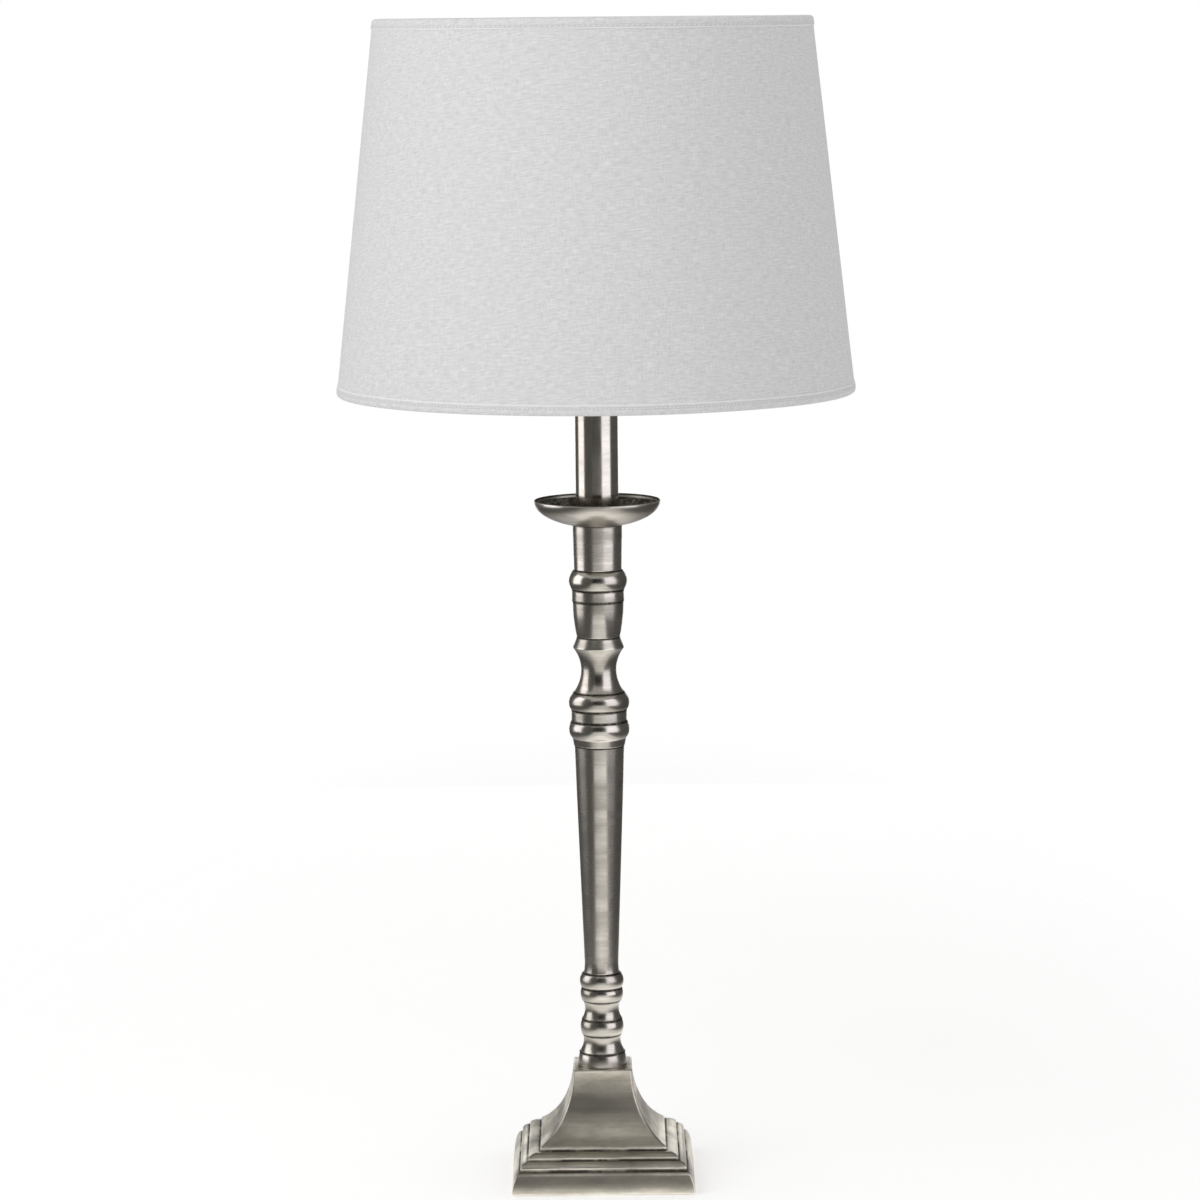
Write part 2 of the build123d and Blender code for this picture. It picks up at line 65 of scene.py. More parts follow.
def everything(bm):
    return bm.verts[:] + bm.edges[:] + bm.faces[:]


def cutSection(node, azimuth=0.0):
    bm = bmesh.new()
    bm.from_mesh(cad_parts[node].data)
    bmesh.ops.transform(bm, matrix=Matrix.Rotation(-azimuth, 4, "Z"), verts=bm.verts[:])
    bmesh.ops.remove_doubles(bm, verts=bm.verts[:], dist=weld)
    bmesh.ops.bisect_plane(bm, geom=everything(bm), dist=weld, plane_co=(0, 0, 0), plane_no=(0, 1, 0),
                           clear_inner=True, clear_outer=True)
    farSide = [v for v in bm.verts if v.co.x < -weld]
    bmesh.ops.delete(bm, geom=farSide, context="VERTS")
    bmesh.ops.remove_doubles(bm, verts=bm.verts[:], dist=weld)
    return bm


def turnAt(vert):
    if len(vert.link_edges) != 2:
        return 0.0
    ahead, behind = (edge.other_vert(vert).co - vert.co for edge in vert.link_edges)
    return math.pi - ahead.angle(behind)


def thinOut(bm, shortest):
    # drops points that crowd each other or lie in line, and keeps the corners
    for vert in bm.verts[:]:
        if not vert.is_valid or len(vert.link_edges) != 2 or turnAt(vert) > outline["kept"]:
            continue
        if turnAt(vert) < outline["inLine"] or min(e.calc_length() for e in vert.link_edges) < shortest:
            bmesh.ops.dissolve_verts(bm, verts=[vert])


def sharpCorners(bm):
    return [v for v in bm.verts if turnAt(v) > outline["sharp"]]


def softenCorners(bm, radius):
    for corner in sharpCorners(bm):
        room = outline["roundRoom"] * min(edge.calc_length() for edge in corner.link_edges)
        bmesh.ops.bevel(bm, geom=[corner], offset=min(radius, room), offset_type="OFFSET", affect="VERTICES",
                        segments=outline["roundSegments"], profile=0.5, material=-1)


def refine(bm, longest):
    for edge in bm.edges[:]:
        cuts = int(edge.calc_length() / longest)
        if cuts:
            bmesh.ops.bisect_edges(bm, edges=[edge], cuts=cuts)


def fairCurves(bm):
    # spreads the turns between the CAD's facets along the curves, in and out again so that nothing shrinks
    for weight in outline["fairing"] * outline["fairPasses"]:
        moves = []
        for vert in bm.verts:
            if len(vert.link_edges) == 2 and turnAt(vert) < outline["gentle"]:
                ahead, behind = (edge.other_vert(vert).co for edge in vert.link_edges)
                moves.append((vert, ((ahead + behind) / 2 - vert.co) * weight))
        for vert, move in moves:
            vert.co += move


def batterUprights(bm, size):
    # an upright band is turned with a soft shoulder, a little narrower at its top
    uprights = []
    bands = []
    for edge in bm.edges:
        foot, top = sorted((vert.co.copy() for vert in edge.verts), key=lambda point: point.z)
        rise = top.z - foot.z
        upright = abs(top.x - foot.x) < size["leanMost"] * rise
        if upright and rise > size["batterFrom"] and foot.x > size["batterOutside"]:
            uprights.append(edge)
            bands.append((foot, top))
    bmesh.ops.bisect_edges(bm, edges=uprights, cuts=size["batterCuts"])
    for vert in bm.verts:
        for foot, top in bands:
            share = (vert.co.z - foot.z) / (top.z - foot.z)
            if 0 < share <= 1 and (vert.co - foot.lerp(top, share)).length < weld:
                vert.co.x -= size["batter"] * share ** size["shoulder"]


def sortCorners(bm, joints=True):
    # corners that gather dirt, which are hollow or at a joint, and edge corners that are made lighter, partly
    # as wear and partly as painted highlight
    foot = min(v.co.z for v in bm.verts)
    top = max(v.co.z for v in bm.verts)
    grooves = []
    edges = []
    for vert in sharpCorners(bm):
        ahead, behind = (edge.other_vert(vert).co for edge in vert.link_edges)
        inward = (ahead + behind) / 2 - vert.co
        joint = min(vert.co.z - foot, top - vert.co.z) < weld
        kind = grooves if inward.x > 0 or (joint and joints) else edges
        kind.append((vert.co.x, vert.co.z))
    return grooves, edges


def copyMoved(bm, matrix):
    copied = bmesh.ops.duplicate(bm, geom=everything(bm))["geom"]
    points = [item for item in copied if isinstance(item, bmesh.types.BMVert)]
    bmesh.ops.transform(bm, matrix=matrix, verts=points)


def spinOutline(bm, steps, doublings=3):
    # one sector is spun, and then doubled until it closes the ring
    sectors = 2 ** doublings
    bmesh.ops.spin(bm, geom=bm.verts[:] + bm.edges[:], cent=(0, 0, 0), axis=axisUp, dvec=(0, 0, 0),
                   angle=math.tau / sectors, steps=steps // sectors)
    for doubling in range(doublings):
        copyMoved(bm, Matrix.Rotation(math.tau / sectors * 2 ** doubling, 4, "Z"))
    bmesh.ops.remove_doubles(bm, verts=bm.verts[:], dist=weld)
    bmesh.ops.recalc_face_normals(bm, faces=bm.faces[:])


def turnedShape(node, size, azimuth=0.0):
    bm = cutSection(node, azimuth)
    thinOut(bm, size["crowd"])
    softenCorners(bm, size["soften"])
    refine(bm, size["ring"])
    spinOutline(bm, size["steps"])
    return bm


def roundWidth(point):
    return math.hypot(point.x, point.y)


def squareWidth(point):
    return max(abs(point.x), abs(point.y))


def markCorners(mesh, label, spots, reach, widthAt):
    # 1 close to a corner, 0 from "reach" outwards, eased between; the finish reads it
    shares = {}
    values = []
    for vert in mesh.vertices:
        key = (round(widthAt(vert.co), 6), round(vert.co.z, 6))
        if key not in shares:
            near = min((math.hypot(key[0] - x, key[1] - z) for x, z in spots), default=reach)
            share = min(1.0, max(0.0, outline["markFill"] * (1.0 - near / reach)))
            shares[key] = share * share * (3 - 2 * share)
        values.append(shares[key])
    mesh.attributes.new(label, "FLOAT", "POINT").data.foreach_set("value", values)


def addPiece(name, bm, body, material, nodes=(), smoothAngle=40):
    for face in bm.faces:
        face.material_index = 0
    mesh = bpy.data.meshes.new(name)
    bm.to_mesh(mesh)
    bm.free()
    mesh.materials.append(material)
    mesh.shade_smooth()
    mesh.set_sharp_from_angle(angle=math.radians(smoothAngle))
    piece = bpy.data.objects.new(name, mesh)
    scene.collection.objects.link(piece)
    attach(piece, body)
    if nodes:
        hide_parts(*nodes)
    return piece


def evenNormals(piece):
    evened = piece.modifiers.new("evenNormals", "WEIGHTED_NORMAL")
    evened.keep_sharp = True


def turnedPiece(name, node, body, material, size):
    # a turned shape with its curves made fair, and its corners marked where the finish needs them
    bm = cutSection(node)
    thinOut(bm, size["crowd"])
    grooves, edges = sortCorners(bm)
    if "batter" in size:
        batterUprights(bm, size)
    softenCorners(bm, size["soften"])
    refine(bm, size["ring"])
    fairCurves(bm)
    spinOutline(bm, size["steps"])
    piece = addPiece(name, bm, body, material, [node])
    if "grooveReach" in size:
        markCorners(piece.data, "groove", grooves, size["grooveReach"], roundWidth)
        markCorners(piece.data, "edge", edges, size["edgeReach"], roundWidth)
    evenNormals(piece)
    return piece


def looseObject(bm):
    mesh = bpy.data.meshes.new("loose")
    bm.to_mesh(mesh)
    bm.free()
    loose = bpy.data.objects.new("loose", mesh)
    scene.collection.objects.link(loose)
    return loose


def drilled(bm, *cutters):
    # a closed shape with closed cutters taken away from it
    work = looseObject(bm)
    tools = [looseObject(cutter) for cutter in cutters]
    for tool in tools:
        cut = work.modifiers.new("cut", "BOOLEAN")
        cut.operation = "DIFFERENCE"
        cut.solver = "EXACT"
        cut.object = tool
    bpy.context.view_layer.update()
    result = bmesh.new()
    result.from_object(work, bpy.context.evaluated_depsgraph_get())
    for loose in [work, *tools]:
        bpy.data.meshes.remove(loose.data)
    bmesh.ops.remove_doubles(result, verts=result.verts[:], dist=weld / 10)     # closes hairline cracks
    return result


def rod(radius, length, place, segments=48):
    bm = bmesh.new()
    bmesh.ops.create_cone(bm, cap_ends=True, segments=segments, radius1=radius, radius2=radius, depth=length,
                          matrix=place @ Matrix.Translation((0, 0, length / 2)))
    return bm


# Shader building blocks
noiseLow, noiseHigh = 0.35, 0.65        # most of a noise's values lie between these


def addNode(tree, kind, inputs=None, **settings):
    node = tree.nodes.new(kind)
    for key, value in settings.items():
        setattr(node, key, value)
    for key, value in (inputs or {}).items():
        if isinstance(value, bpy.types.NodeSocket):
            tree.links.new(value, node.inputs[key])
        else:
            node.inputs[key].default_value = value
    return node


def calc(tree, operation, first, second=0.0, third=0.0, clamp=False):
    inputs = {0: first, 1: second, 2: third}
    return addNode(tree, "ShaderNodeMath", inputs, operation=operation, use_clamp=clamp).outputs[0]


def mixValue(tree, factor, first, second):
    return addNode(tree, "ShaderNodeMix", {0: factor, 2: first, 3: second}, data_type="FLOAT").outputs[0]


def mixColor(tree, factor, first, second):
    return addNode(tree, "ShaderNodeMix", {0: factor, 6: first, 7: second}, data_type="RGBA").outputs[2]


def stretch(tree, vector, scale):
    return addNode(tree, "ShaderNodeVectorMath", {0: vector, 1: scale}, operation="MULTIPLY").outputs[0]


def drawRound(tree, vector, scale):
    # a pattern on it is drawn out round the axis
    return stretch(tree, vector, (scale, scale, 1.0))


def grainNoise(tree, vector, scale, detail=2.0, roughness=0.5):
    inputs = {"Vector": vector, "Scale": scale, "Detail": detail, "Roughness": roughness}
    return addNode(tree, "ShaderNodeTexNoise", inputs).outputs[0]


def remap(tree, value, low, high, toLow=0.0, toHigh=1.0):
    return addNode(tree, "ShaderNodeMapRange", {0: value, 1: low, 2: high, 3: toLow, 4: toHigh}).outputs[0]


def attribute(tree, label):
    return addNode(tree, "ShaderNodeAttribute", attribute_name=label).outputs["Fac"]


def newGroup(name, takes, gives):
    # a group takes a vector and some values, and gives values
    tree = bpy.data.node_groups.new(name, "ShaderNodeTree")
    tree.interface.new_socket(name="Vector", in_out="INPUT", socket_type="NodeSocketVector")
    for label, value in takes.items():
        socket = tree.interface.new_socket(name=label, in_out="INPUT", socket_type="NodeSocketFloat")
        socket.default_value = value
    for label in gives:
        tree.interface.new_socket(name=label, in_out="OUTPUT", socket_type="NodeSocketFloat")
    source = tree.nodes.new("NodeGroupInput")
    sink = tree.nodes.new("NodeGroupOutput")
    return tree, source.outputs, sink.inputs


def useGroup(tree, group, inputs):
    return addNode(tree, "ShaderNodeGroup", inputs, node_tree=group).outputs


# In these dictionaries a range gives the values from and to, and after them what they become
latheLook = {"lineDraw": 0.012, "driftDraw": 0.15, "patchScale": 55.0, "patchRange": (0.35, 0.65, 0.45, 1.0),
             "lineShare": 0.15, "driftShare": 0.85}
patinaAndLightLook = {"crumbScale": 420.0, "crumbRange": (0.3, 0.6, 0.75, 1.25), "patchScale": 75.0,
              "gapRange": (0.42, 0.62), "wearHighlightRange": (0.35, 0.6, 1.0, 0.3), "cloudDraw": 0.45,
              "hazeRange": (0.42, 0.72)}
weaveLook = {"wobbleScale": 260.0, "wobble": 2.6, "yarnScale": 1200.0, "yarnDraw": 0.15, "yarnRough": 0.55,
             "weftRange": (0.3, 0.7, 0.0, 1.2), "warpRange": (0.3, 0.7, 0.0, 0.8), "slubScale": 700.0,
             "slubDraw": 0.09, "slubRange": (0.60, 0.76), "knotShare": 0.22, "yarnShare": 0.5,
             "slubHeight": 0.45, "slubTone": 0.25}
speckleLook = {"coarseScale": 0.08, "fineShare": 0.4, "coarseShare": 0.6}


def latheGrainGroup(look):
    # lines that run round the axis, with a slow drift in strength
    tree, get, put = newGroup("latheGrain", {"Lines": 1500.0, "Drift": 30.0}, ("Height", "Streak"))
    fine = grainNoise(tree, drawRound(tree, get["Vector"], look["lineDraw"]), get["Lines"], detail=1.0)
    broad = grainNoise(tree, drawRound(tree, get["Vector"], look["driftDraw"]), get["Drift"], detail=3.0,
                       roughness=0.6)
    patch = grainNoise(tree, get["Vector"], look["patchScale"])
    height = calc(tree, "MULTIPLY", fine, remap(tree, patch, *look["patchRange"]))
    streak = calc(tree, "ADD", calc(tree, "MULTIPLY", fine, look["lineShare"]),
                  calc(tree, "MULTIPLY", broad, look["driftShare"]))
    tree.links.new(height, put["Height"])
    tree.links.new(streak, put["Streak"])
    return tree


def patinaAndLightGroup(look):
    # dark oxide in the grooves, or painted shade where a piece marks it so, broken up by noise, drawn-out
    # clouds on the open metal, and bright edges that are partly wear and partly painted highlight
    takes = {"Groove": 0.0, "Edge": 0.0, "Clouds": 0.2, "Cloud Size": 60.0, "Breaks": 0.3}
    tree, get, put = newGroup("patinaAndLight", takes, ("Mask", "Shine"))
    crumbs = grainNoise(tree, get["Vector"], look["crumbScale"], detail=3.0, roughness=0.65)
    patch = grainNoise(tree, get["Vector"], look["patchScale"])
    cloud = grainNoise(tree, drawRound(tree, get["Vector"], look["cloudDraw"]), get["Cloud Size"], detail=4.0,
                       roughness=0.6)
    broken = calc(tree, "MULTIPLY", get["Groove"], remap(tree, crumbs, *look["crumbRange"]))
    gaps = calc(tree, "MULTIPLY", remap(tree, patch, *look["gapRange"]), get["Breaks"])
    broken = calc(tree, "MULTIPLY", broken, calc(tree, "SUBTRACT", 1.0, gaps))
    haze = calc(tree, "MULTIPLY", remap(tree, cloud, *look["hazeRange"]), get["Clouds"])
    tree.links.new(calc(tree, "ADD", broken, haze, clamp=True), put["Mask"])
    wearAndHighlight = calc(tree, "MULTIPLY", get["Edge"], remap(tree, patch, *look["wearHighlightRange"]))
    wearAndHighlight = calc(tree, "MULTIPLY", wearAndHighlight, calc(tree, "SUBTRACT", 1.0, get["Groove"]))
    tree.links.new(wearAndHighlight, put["Shine"])
    return tree


def threadLine(tree, place, threads, drift):
    # over and under, from one thread to the next
    count = calc(tree, "ADD", calc(tree, "MULTIPLY", place, threads), drift)
    return calc(tree, "SINE", calc(tree, "MULTIPLY", count, math.pi))


def weaveGroup(look):
    # plain weave with uneven threads: the vector is cloth length and width in metres
    tree, get, put = newGroup("linenWeave", {"Threads": 1600.0, "Slub": 1.0}, ("Height", "Tone"))
    split = addNode(tree, "ShaderNodeSeparateXYZ", {0: get["Vector"]}).outputs
    drift = calc(tree, "MULTIPLY", grainNoise(tree, get["Vector"], look["wobbleScale"]), look["wobble"])
    warp = threadLine(tree, split[0], get["Threads"], drift)
    weft = threadLine(tree, split[1], get["Threads"], drift)
    knots = calc(tree, "MULTIPLY", warp, weft)
    alongWeft = stretch(tree, get["Vector"], (look["yarnDraw"], 1.0, 1.0))
    alongWarp = stretch(tree, get["Vector"], (1.0, look["yarnDraw"], 1.0))
    alongSlub = stretch(tree, get["Vector"], (look["slubDraw"], 1.0, 1.0))
    weftYarn = grainNoise(tree, alongWeft, look["yarnScale"], roughness=look["yarnRough"])
    warpYarn = grainNoise(tree, alongWarp, look["yarnScale"], roughness=look["yarnRough"])
    slubYarn = grainNoise(tree, alongSlub, look["slubScale"], detail=1.0)
    slubs = calc(tree, "MULTIPLY", remap(tree, slubYarn, *look["slubRange"]), get["Slub"])
    yarns = calc(tree, "ADD", remap(tree, weftYarn, *look["weftRange"]),
                 remap(tree, warpYarn, *look["warpRange"]))
    tone = calc(tree, "ADD", calc(tree, "MULTIPLY", knots, look["knotShare"]),
                calc(tree, "MULTIPLY", yarns, look["yarnShare"]))
    tree.links.new(calc(tree, "MULTIPLY_ADD", slubs, look["slubHeight"], tone), put["Height"])
    tree.links.new(calc(tree, "MULTIPLY_ADD", slubs, look["slubTone"], tone), put["Tone"])
    return tree


def speckleGroup(look):
    # fine grain for moulded, cast and painted faces
    tree, get, put = newGroup("speckle", {"Scale": 900.0}, ("Height", "Tone"))
    fine = grainNoise(tree, get["Vector"], get["Scale"], detail=3.0, roughness=0.6)
    coarseScale = calc(tree, "MULTIPLY", get["Scale"], look["coarseScale"])
    coarse = grainNoise(tree, get["Vector"], coarseScale, detail=3.0)
    tone = calc(tree, "ADD", calc(tree, "MULTIPLY", fine, look["fineShare"]),
                calc(tree, "MULTIPLY", coarse, look["coarseShare"]))
    tree.links.new(fine, put["Height"])
    tree.links.new(tone, put["Tone"])
    return tree


latheGrain = latheGrainGroup(latheLook)
patinaAndLight = patinaAndLightGroup(patinaAndLightLook)
linenWeave = weaveGroup(weaveLook)
speckle = speckleGroup(speckleLook)


def newMaterial(name, constants):
    material = bpy.data.materials.new(name)
    material.use_nodes = True
    tree = material.node_tree
    shader = tree.nodes["Principled BSDF"]
    for key, value in constants.items():
        shader.inputs[key].default_value = value
    return material, tree, shader


def objectPoint(tree):
    return addNode(tree, "ShaderNodeTexCoord").outputs["Object"]


def bumpInto(tree, shader, height, depth, strength):
    bump = addNode(tree, "ShaderNodeBump", {"Height": height, "Distance": depth, "Strength": strength})
    tree.links.new(bump.outputs[0], shader.inputs["Normal"])


def nickelMaterial(name, finish):
    material, tree, shader = newMaterial(name, {"Metallic": 1.0})
    point = objectPoint(tree)
    grain = useGroup(tree, latheGrain, {"Vector": point, "Lines": finish["lines"], "Drift": finish["drift"]})
    patinaAndLightMarks = useGroup(tree, patinaAndLight, {
        "Vector": point, "Groove": attribute(tree, "groove"), "Edge": attribute(tree, "edge"),
        "Clouds": finish["clouds"], "Cloud Size": finish["cloudSize"], "Breaks": finish["breaks"],
    })
    streak = remap(tree, grain["Streak"], noiseLow, noiseHigh)
    color = mixColor(tree, streak, finish["shadeColor"], finish["brightColor"])
    # darker where the mask is: oxide in the grooves and clouds, and painted shade in the drip pan's bowl
    color = mixColor(tree, patinaAndLightMarks["Mask"], color, finish["oxideAndShadeColor"])
    # lighter at the marked edges: partly wear, partly painted highlight
    color = mixColor(tree, patinaAndLightMarks["Shine"], color, finish["edgeWearHighlightColor"])
    tree.links.new(color, shader.inputs["Base Color"])
    rough = remap(tree, grain["Streak"], noiseLow, noiseHigh, finish["roughHigh"], finish["roughLow"])
    rough = calc(tree, "MULTIPLY_ADD", patinaAndLightMarks["Mask"], finish["oxideRough"], rough)
    tree.links.new(rough, shader.inputs["Roughness"])
    bumpInto(tree, shader, grain["Height"], finish["depth"], finish["bump"])
    return material


turnedFinish = {
    "lines": 2800.0, "drift": 110.0, "clouds": 0.22, "cloudSize": 70.0, "breaks": 0.12,
    "brightColor": (0.71, 0.665, 0.595, 1), "shadeColor": (0.46, 0.428, 0.37, 1),
    "oxideAndShadeColor": (0.06, 0.055, 0.046, 1), "edgeWearHighlightColor": (0.80, 0.76, 0.69, 1),
    "roughLow": 0.19, "roughHigh": 0.30, "oxideRough": 0.25, "depth": 0.03 * mm, "bump": 0.07,
}
castFinish = {
    **turnedFinish,
    "lines": 1500.0, "clouds": 0.6, "cloudSize": 60.0, "breaks": 0.6,
    "brightColor": (0.84, 0.785, 0.66, 1), "shadeColor": (0.58, 0.537, 0.44, 1),
    "oxideAndShadeColor": (0.11, 0.10, 0.08, 1), "edgeWearHighlightColor": (0.90, 0.85, 0.75, 1),
    "roughLow": 0.30, "roughHigh": 0.42, "depth": 0.04 * mm, "bump": 0.5,
}
sheetFinish = {
    **turnedFinish,
    "lines": 3200.0, "clouds": 0.12, "shadeColor": (0.58, 0.543, 0.48, 1),
    "roughLow": 0.14, "roughHigh": 0.20, "bump": 0.03,
}
panFinish = {
    **turnedFinish,
    "clouds": 0.65, "cloudSize": 60.0, "brightColor": (0.67, 0.627, 0.56, 1),
    "shadeColor": (0.48, 0.447, 0.39, 1), "roughLow": 0.26, "roughHigh": 0.36,
}
turnedNickel = nickelMaterial("turnedNickel", turnedFinish)
castNickel = nickelMaterial("castNickel", castFinish)
sheetNickel = nickelMaterial("sheetNickel", sheetFinish)
spunNickel = nickelMaterial("spunNickel", panFinish)


def linenMaterial(name, cloth):
    material, tree, shader = newMaterial(name, {
        "Roughness": cloth["rough"], "Sheen Weight": cloth["sheen"], "Sheen Roughness": cloth["sheenRough"],
        "Specular IOR Level": cloth["specular"],
    })
    flat = addNode(tree, "ShaderNodeUVMap", uv_map="cloth").outputs[0]
    weave = useGroup(tree, linenWeave, {"Vector": flat, "Threads": cloth["threads"], "Slub": cloth["slub"]})
    color = mixColor(tree, remap(tree, weave["Tone"], *cloth["toneRange"]), cloth["dark"], cloth["light"])
    # lighter along a hem's fold line, a painted highlight
    color = mixColor(tree, attribute(tree, "edge"), color, cloth["foldHighlight"])
    # darker along the stitch rows and at the lap's creased edge, a painted shade
    color = mixColor(tree, attribute(tree, "groove"), color, cloth["creaseShade"])
    tree.links.new(color, shader.inputs["Base Color"])
    bumpInto(tree, shader, weave["Height"], cloth["depth"], cloth["bump"])
    return material


linenCloth = {
    "threads": 1650.0, "slub": 1.0, "toneRange": (0.0, 1.1), "depth": 0.12 * mm, "bump": 0.9,
    "dark": (0.62, 0.62, 0.628, 1), "light": (0.885, 0.885, 0.898, 1),
    "creaseShade": (0.62, 0.62, 0.628, 1), "foldHighlight": (0.90, 0.90, 0.905, 1),
    "rough": 0.92, "sheen": 0.12, "sheenRough": 0.5, "specular": 0.25,
}
hemCloth = {**linenCloth, "slub": 0.8}
shadeLinen = linenMaterial("shadeLinen", linenCloth)
hemLinen = linenMaterial("hemLinen", hemCloth)


def plainMaterial(name, look, metallic):
    # one tone with fine grain in colour, gloss and relief
    material, tree, shader = newMaterial(name, {"Metallic": metallic})
    grain = useGroup(tree, speckle, {"Vector": objectPoint(tree), "Scale": look["grain"]})
    color = mixColor(tree, remap(tree, grain["Tone"], noiseLow, noiseHigh), look["dark"], look["light"])
    tree.links.new(color, shader.inputs["Base Color"])
    rough = remap(tree, grain["Tone"], noiseLow, noiseHigh, look["roughHigh"], look["roughLow"])
    tree.links.new(rough, shader.inputs["Roughness"])
    bumpInto(tree, shader, grain["Height"], look["depth"], look["bump"])
    return material


looks = {
    "blackPlastic": {"grain": 1400.0, "dark": (0.012, 0.012, 0.012, 1), "light": (0.022, 0.022, 0.022, 1),
                     "roughLow": 0.32, "roughHigh": 0.46, "depth": 0.03 * mm, "bump": 0.35},
    "powderWhite": {"grain": 1800.0, "dark": (0.74, 0.74, 0.72, 1), "light": (0.84, 0.84, 0.82, 1),
                    "roughLow": 0.34, "roughHigh": 0.48, "depth": 0.04 * mm, "bump": 0.4},
    "linerFilm": {"grain": 500.0, "dark": (0.80, 0.80, 0.78, 1), "light": (0.86, 0.86, 0.84, 1),
                  "roughLow": 0.45, "roughHigh": 0.6, "depth": 0.02 * mm, "bump": 0.25},
    "castIron": {"grain": 700.0, "dark": (0.035, 0.034, 0.033, 1), "light": (0.11, 0.105, 0.10, 1),
                 "roughLow": 0.6, "roughHigh": 0.85, "depth": 0.25 * mm, "bump": 0.6},
    "baseFelt": {"grain": 2600.0, "dark": (0.018, 0.022, 0.018, 1), "light": (0.06, 0.068, 0.06, 1),
                 "roughLow": 0.9, "roughHigh": 1.0, "depth": 0.3 * mm, "bump": 0.9},
    "zincSteel": {"grain": 500.0, "dark": (0.46, 0.47, 0.49, 1), "light": (0.66, 0.67, 0.69, 1),
                  "roughLow": 0.28, "roughHigh": 0.42, "depth": 0.02 * mm, "bump": 0.3},
    "porcelain": {"grain": 300.0, "dark": (0.78, 0.76, 0.71, 1), "light": (0.86, 0.85, 0.81, 1),
                  "roughLow": 0.12, "roughHigh": 0.2, "depth": 0.03 * mm, "bump": 0.2},
    "sheetBrass": {"grain": 600.0, "dark": (0.55, 0.38, 0.14, 1), "light": (0.78, 0.58, 0.27, 1),
                   "roughLow": 0.2, "roughHigh": 0.34, "depth": 0.02 * mm, "bump": 0.3},
    "bulbMetal": {"grain": 600.0, "dark": (0.60, 0.60, 0.61, 1), "light": (0.78, 0.78, 0.79, 1),
                  "roughLow": 0.18, "roughHigh": 0.3, "depth": 0.02 * mm, "bump": 0.3},
    "fusedGlass": {"grain": 500.0, "dark": (0.008, 0.008, 0.010, 1), "light": (0.018, 0.018, 0.022, 1),
                   "roughLow": 0.1, "roughHigh": 0.2, "depth": 0.02 * mm, "bump": 0.2},
    "opalGlass": {"grain": 220.0, "dark": (0.84, 0.835, 0.81, 1), "light": (0.90, 0.895, 0.87, 1),
                  "roughLow": 0.14, "roughHigh": 0.22, "depth": 0.01 * mm, "bump": 0.15},
    "sewingThread": {"grain": 4000.0, "dark": (0.80, 0.80, 0.80, 1), "light": (0.90, 0.90, 0.90, 1),
                     "roughLow": 0.6, "roughHigh": 0.8, "depth": 0.03 * mm, "bump": 0.6},
}
metals = ("zincSteel", "sheetBrass", "bulbMetal")
finishes = {name: plainMaterial(name, look, 1.0 if name in metals else 0.0) for name, look in looks.items()}
print("materials made,", len(bpy.data.materials))


# Base casting: its side outline, drawn out to a corner and turned in four steps, is the square block
baseSize = {"crowd": 0.25 * mm, "soften": 0.45 * mm, "ring": 1.2 * mm, "mitre": 1.2 * mm, "mitreSegments": 4,
            "mitreTurn": math.radians(8), "columns": 26, "level": 0.02 * mm, "shortRun": 4 * mm,
            "grooveReach": 1.7 * mm, "edgeReach": 1.4 * mm, "dent": 0.12 * mm, "dentSize": 22 * mm,
            "fineDent": 0.5, "fineDents": 2.7, "recess": 7.5 * mm, "recessFloor": 63.4 * mm, "bore": 5.3 * mm,
            "cordHole": 4.05 * mm, "spotHole": 5.05 * mm, "spotFace": 51.2 * mm, "overrun": 5 * mm,
            "cutter": 30 * mm}


def closeBore(bm, radius):
    # the round hole down the middle is drilled later, so the outline is carried in to the axis
    inner = [v for v in bm.verts if v.co.x < radius + weld]
    ends = (max(inner, key=lambda v: v.co.z), min(inner, key=lambda v: v.co.z))
    for end in ends:
        end.co.x = 0.0
    bmesh.ops.delete(bm, geom=[v for v in inner if v not in ends], context="VERTS")


def onMitre(edge, size):
    first, second = (vert.co for vert in edge.verts)
    if abs(abs(first.x) - abs(first.y)) > weld or abs(abs(second.x) - abs(second.y)) > weld:
        return False
    sameCorner = first.x * second.x > 0 and first.y * second.y > 0
    return sameCorner and edge.calc_face_angle(0.0) > size["mitreTurn"]


def alongSide(edge, size):
    run = edge.verts[1].co - edge.verts[0].co
    straight = abs(run.z) < size["level"] and min(abs(run.x), abs(run.y)) < size["level"]
    return straight and run.length > size["shortRun"]


def dentFaces(bm, size):
    # slight waves that filing and polishing leave on the faces
    bm.normal_update()
    for vert in bm.verts:
        place = vert.co / size["dentSize"]
        wave = noise.noise(place) + size["fineDent"] * noise.noise(place * size["fineDents"])
        vert.co += vert.normal * wave * size["dent"]


def markMitres(mesh, reach):
    # the corners where two sides meet are made lighter as the edges are, partly as wear and partly as painted
    # highlight
    edge = mesh.attributes["edge"].data
    for vert in mesh.vertices:
        share = max(0.0, 1.0 - abs(abs(vert.co.x) - abs(vert.co.y)) / reach)
        edge[vert.index].value = max(edge[vert.index].value, share)


def baseHoles(size):
    # cutters for the rod's bore, the recess round it, the cord hole and its spot face
    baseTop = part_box("base_casting")[1].z
    bushLow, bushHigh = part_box("cord_bushing")
    cordHeight = (bushLow.z + bushHigh.z) / 2
    cordStart = Matrix.Translation((0, bushLow.y - size["overrun"], cordHeight))
    spotStart = Matrix.Translation((0, size["spotFace"], cordHeight))
    return [rod(size["bore"], baseTop + size["overrun"], Matrix()),
            rod(size["recess"], baseTop, Matrix.Translation((0, 0, size["recessFloor"]))),
            rod(size["cordHole"], size["cutter"], cordStart @ towardsBack),
            rod(size["spotHole"], size["cutter"], spotStart @ towardsBack)]


